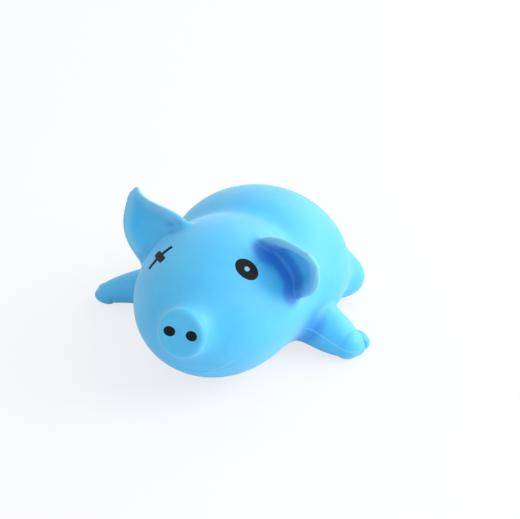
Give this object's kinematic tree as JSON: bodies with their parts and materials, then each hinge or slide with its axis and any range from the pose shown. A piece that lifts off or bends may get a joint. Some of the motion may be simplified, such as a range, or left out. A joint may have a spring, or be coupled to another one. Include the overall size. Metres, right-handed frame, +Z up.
{
  "type": "squeeze toy pig",
  "caption": "Palm-sized squeeze toy of a pig lying on its belly, a soft rubber skin over thick gel, with floppy cupped ears, cloven hooves and a printed wink.",
  "frame": {"origin": "centre of the bounding box at its lowest face, on the surface that the toy lies on", "axes": "+Z up; -Y the way the pig looks; +X the pig's left"},
  "size_m": [0.1132, 0.1174, 0.0599],
  "materials": {
    "skin": "satin, slightly translucent sky-blue thermoplastic rubber",
    "ink": "black printed ink, satin",
    "glint": "pale bare spot left in the printed eye",
    "gel": "thick clear gel, seen through nothing",
    "plug": "satin rubber"
  },
  "bodies": {
    "body": {"torso_skin": "skin", "head_skin": "skin", "gel_filling": "gel", "filling_plug": "plug", "snout": "skin", "nostril_mark_left": "ink", "nostril_mark_right": "ink", "eye_mark": "ink", "eye_glint": "glint", "wink_mark": "ink", "ear_root_right": "skin", "ear_root_left": "skin", "front_left_leg_root": "skin", "front_right_leg_root": "skin", "rear_left_leg_root": "skin", "rear_right_leg_root": "skin", "tail": "skin"},
    "ear_right": {"ear_right": "skin"},
    "ear_left": {"ear_left": "skin"},
    "front_left_leg": {"front_left_leg": "skin"},
    "front_right_leg": {"front_right_leg": "skin"},
    "rear_left_leg": {"rear_left_leg": "skin"},
    "rear_right_leg": {"rear_right_leg": "skin"}
  },
  "joints": [
    {"name": "ear_right_flop", "type": "hinge", "parent": "body", "child": "ear_right", "pos_m": [-0.02045, -0.01333, 0.04384], "axis": [0.6584, 0.1494, 0.7377], "range_deg": [-10, 40], "stiffness_Nm_per_rad": 0.006, "deforming": ["ear_root_right"]},
    {"name": "ear_left_flop", "type": "hinge", "parent": "body", "child": "ear_left", "pos_m": [0.02785, -0.01546, 0.04397], "axis": [0.6584, -0.1494, -0.7377], "range_deg": [-40, 12], "stiffness_Nm_per_rad": 0.006, "deforming": ["ear_root_left"]},
    {"name": "front_left_leg_lift", "type": "hinge", "parent": "body", "child": "front_left_leg", "pos_m": [0.03966, 0.00266, 0.00828], "axis": [-0.2912, -0.9567, 0], "range_deg": [-10, 15], "stiffness_Nm_per_rad": 0.06, "deforming": ["front_left_leg_root"]},
    {"name": "front_right_leg_lift", "type": "hinge", "parent": "body", "child": "front_right_leg", "pos_m": [-0.03048, 0.00365, 0.01021], "axis": [-0.0734, 0.9973, 0], "range_deg": [-10, 15], "stiffness_Nm_per_rad": 0.06, "deforming": ["front_right_leg_root"]},
    {"name": "rear_left_leg_lift", "type": "hinge", "parent": "body", "child": "rear_left_leg", "pos_m": [0.03418, 0.03868, 0.00894], "axis": [0.6344, 0.4589, -0.622], "range_deg": [-8, 10], "stiffness_Nm_per_rad": 0.06, "deforming": ["rear_left_leg_root"]},
    {"name": "rear_right_leg_lift", "type": "hinge", "parent": "body", "child": "rear_right_leg", "pos_m": [-0.02364, 0.03868, 0.00894], "axis": [0.6344, -0.4589, 0.622], "range_deg": [-8, 10], "stiffness_Nm_per_rad": 0.06, "deforming": ["rear_right_leg_root"]}
  ]
}
